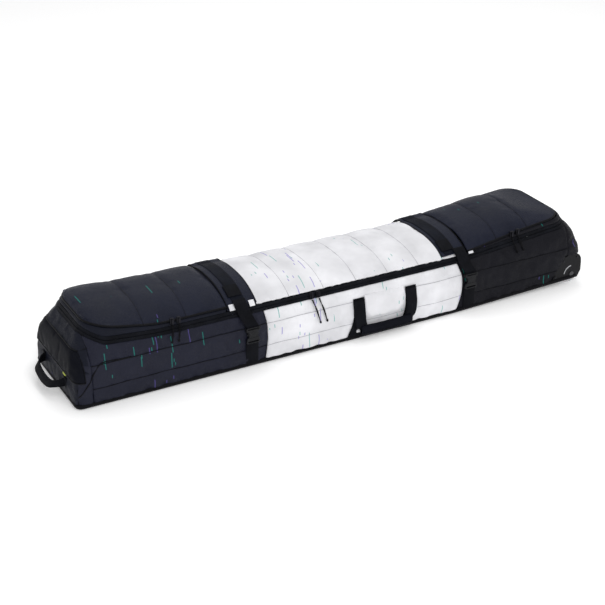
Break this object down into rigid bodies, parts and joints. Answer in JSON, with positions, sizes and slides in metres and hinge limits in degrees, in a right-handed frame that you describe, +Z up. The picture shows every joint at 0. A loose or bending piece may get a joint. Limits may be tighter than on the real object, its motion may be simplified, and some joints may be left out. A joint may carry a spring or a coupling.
{
  "type": "snowboard bag",
  "caption": "Long wheeled soft bag for snowboards with a full zipped lid, lid pockets, compression straps, a carry handle and a haul handle.",
  "frame": {"origin": "on the floor under the middle of the bag's whole length, on its centre plane", "axes": "+X along the bag to the wheel end, -Y to the side with the carry handle, +Z up"},
  "size_m": [1.802, 0.369, 0.287],
  "materials": {
    "charcoal_fabric": "woven nylon, satin, printed with short teal and purple dashes",
    "white_fabric": "coated off-white fabric, satin, printed with short dashes",
    "black_webbing": "polyester webbing, matte",
    "base_fabric": "coated tarpaulin, matte",
    "lining": "lining over foam, matte",
    "board_plastic": "moulded sheet",
    "zip_tape": "coated zip tape and coil",
    "zip_metal": "black painted zinc",
    "cord_black": "braided cord, matte",
    "black_plastic": "moulded acetal, fine texture",
    "wheel_rubber": "pale translucent polyurethane, satin",
    "hub_plastic": "moulded nylon",
    "bearing_steel": "ground steel",
    "axle_steel": "zinc plated",
    "stripe_grey": "pale grey insert",
    "white_trim": "white woven tab",
    "lime_trim": "yellow-green woven tab"
  },
  "bodies": {
    "tub": {"base_panel": "base_fabric", "base_board": "board_plastic", "floor_pad": "lining", "front_wall_near": "charcoal_fabric", "front_wall_middle": "white_fabric", "front_wall_far": "charcoal_fabric", "back_wall": "charcoal_fabric", "near_end_wall": "charcoal_fabric", "far_end_wall": "charcoal_fabric", "near_end_pad": "charcoal_fabric", "end_tab": "lime_trim", "main_zip_lower": "zip_tape", "handle_bands": "black_webbing", "handle_pad": "white_fabric", "haul_handle_anchors": "black_webbing", "lower_straps": "black_webbing", "front_wheel_housing": "black_plastic", "back_wheel_housing": "black_plastic", "wheel_axles": "axle_steel", "housing_stripes": "stripe_grey", "housing_screws": "axle_steel"},
    "lid": {"main_zip_upper": "zip_tape", "lid_middle_panel": "white_fabric", "near_pocket_floor": "lining", "far_pocket_floor": "lining", "near_pocket_gusset": "charcoal_fabric", "far_pocket_gusset": "charcoal_fabric", "near_saddle": "charcoal_fabric", "far_saddle": "charcoal_fabric", "saddle_keepers": "black_webbing", "white_strap_tabs": "white_trim", "near_strap_upper": "black_webbing", "far_strap_upper": "black_webbing", "near_buckle_socket": "black_plastic", "far_buckle_socket": "black_plastic"},
    "near_flap": {"near_pocket_flap": "charcoal_fabric"},
    "far_flap": {"far_pocket_flap": "charcoal_fabric"},
    "front_wheel": {"front_wheel_tyre": "wheel_rubber", "front_wheel_hub": "hub_plastic", "front_wheel_bearings": "bearing_steel"},
    "back_wheel": {"back_wheel_tyre": "wheel_rubber", "back_wheel_hub": "hub_plastic", "back_wheel_bearings": "bearing_steel"},
    "near_tongue": {"near_buckle_tongue": "black_plastic"},
    "far_tongue": {"far_buckle_tongue": "black_plastic"},
    "carry_handle": {"carry_handle_strap": "black_webbing", "carry_handle_grip": "black_webbing"},
    "haul_loop": {"haul_handle": "black_webbing"},
    "main_zip_slider_a": {"main_zip_slider_a": "zip_metal"},
    "main_zip_pull_a": {"main_zip_cord_a": "cord_black"},
    "main_zip_slider_b": {"main_zip_slider_b": "zip_metal"},
    "main_zip_pull_b": {"main_zip_cord_b": "cord_black"},
    "near_pocket_slider_a": {"near_pocket_slider_a": "zip_metal"},
    "near_pocket_pull_a": {"near_pocket_cord_a": "cord_black"},
    "near_pocket_slider_b": {"near_pocket_slider_b": "zip_metal"},
    "near_pocket_pull_b": {"near_pocket_cord_b": "cord_black"},
    "far_pocket_slider_a": {"far_pocket_slider_a": "zip_metal"},
    "far_pocket_pull_a": {"far_pocket_cord_a": "cord_black"},
    "far_pocket_slider_b": {"far_pocket_slider_b": "zip_metal"},
    "far_pocket_pull_b": {"far_pocket_cord_b": "cord_black"}
  },
  "joints": [
    {"name": "lid_hinge", "type": "hinge", "parent": "tub", "child": "lid", "pos_m": [0, 0.155, 0.189], "axis": [-1, 0, 0], "range_deg": [0, 100]},
    {"name": "near_flap_hinge", "type": "hinge", "parent": "lid", "child": "near_flap", "pos_m": [-0.59, 0.1495, 0.2005], "axis": [-1, 0, 0], "range_deg": [0, 75]},
    {"name": "far_flap_hinge", "type": "hinge", "parent": "lid", "child": "far_flap", "pos_m": [0.635, 0.151, 0.1955], "axis": [-1, 0, 0], "range_deg": [0, 70]},
    {"name": "front_wheel_spin", "type": "hinge", "parent": "tub", "child": "front_wheel", "pos_m": [0.855, -0.147, 0.036], "axis": [0, 1, 0], "continuous": true},
    {"name": "back_wheel_spin", "type": "hinge", "parent": "tub", "child": "back_wheel", "pos_m": [0.855, 0.147, 0.036], "axis": [0, 1, 0], "continuous": true},
    {"name": "near_buckle_release", "type": "slide", "parent": "tub", "child": "near_tongue", "axis": [0, 0, -1], "range_m": [0, 0.022]},
    {"name": "far_buckle_release", "type": "slide", "parent": "tub", "child": "far_tongue", "axis": [0, 0, -1], "range_m": [0, 0.022]},
    {"name": "carry_handle_swing", "type": "hinge", "parent": "tub", "child": "carry_handle", "pos_m": [0.13725, -0.1748, 0.132], "axis": [-1, 0, 0], "range_deg": [0, 150]},
    {"name": "haul_handle_swing", "type": "hinge", "parent": "tub", "child": "haul_loop", "pos_m": [-0.863, 0, 0.054], "axis": [0, 1, 0], "range_deg": [-20, 20]},
    {"name": "main_zip_slide_a", "type": "slide", "parent": "tub", "child": "main_zip_slider_a", "axis": [-1, 0, 0], "range_m": [0, 0.165]},
    {"name": "main_zip_pull_swing_a", "type": "hinge", "parent": "main_zip_slider_a", "child": "main_zip_pull_a", "pos_m": [-0.11, -0.1671, 0.169], "axis": [-1, 0, 0], "range_deg": [0, 75]},
    {"name": "main_zip_slide_b", "type": "slide", "parent": "tub", "child": "main_zip_slider_b", "axis": [1, 0, 0], "range_m": [0, 0.47]},
    {"name": "main_zip_pull_swing_b", "type": "hinge", "parent": "main_zip_slider_b", "child": "main_zip_pull_b", "pos_m": [-0.087, -0.1671, 0.169], "axis": [-1, 0, 0], "range_deg": [0, 75]},
    {"name": "near_pocket_slide_a", "type": "slide", "parent": "lid", "child": "near_pocket_slider_a", "axis": [-1, 0, 0], "range_m": [0, 0.036]},
    {"name": "near_pocket_pull_swing_a", "type": "hinge", "parent": "near_pocket_slider_a", "child": "near_pocket_pull_a", "pos_m": [-0.556, -0.1603, 0.193], "axis": [-1, 0, 0], "range_deg": [0, 75]},
    {"name": "near_pocket_slide_b", "type": "slide", "parent": "lid", "child": "near_pocket_slider_b", "axis": [1, 0, 0], "range_m": [0, 0.14]},
    {"name": "near_pocket_pull_swing_b", "type": "hinge", "parent": "near_pocket_slider_b", "child": "near_pocket_pull_b", "pos_m": [-0.535, -0.1603, 0.193], "axis": [-1, 0, 0], "range_deg": [0, 75]},
    {"name": "far_pocket_slide_a", "type": "slide", "parent": "lid", "child": "far_pocket_slider_a", "axis": [-0.9903, -0.0398, -0.1328], "range_m": [0, 0.07]},
    {"name": "far_pocket_pull_swing_a", "type": "hinge", "parent": "far_pocket_slider_a", "child": "far_pocket_pull_a", "pos_m": [0.617, -0.15404, 0.21052], "axis": [-1, 0, 0], "range_deg": [0, 75]},
    {"name": "far_pocket_slide_b", "type": "slide", "parent": "lid", "child": "far_pocket_slider_b", "axis": [0.9903, 0.0398, 0.1328], "range_m": [0, 0.155]},
    {"name": "far_pocket_pull_swing_b", "type": "hinge", "parent": "far_pocket_slider_b", "child": "far_pocket_pull_b", "pos_m": [0.64, -0.15312, 0.2136], "axis": [-1, 0, 0], "range_deg": [0, 75]}
  ]
}
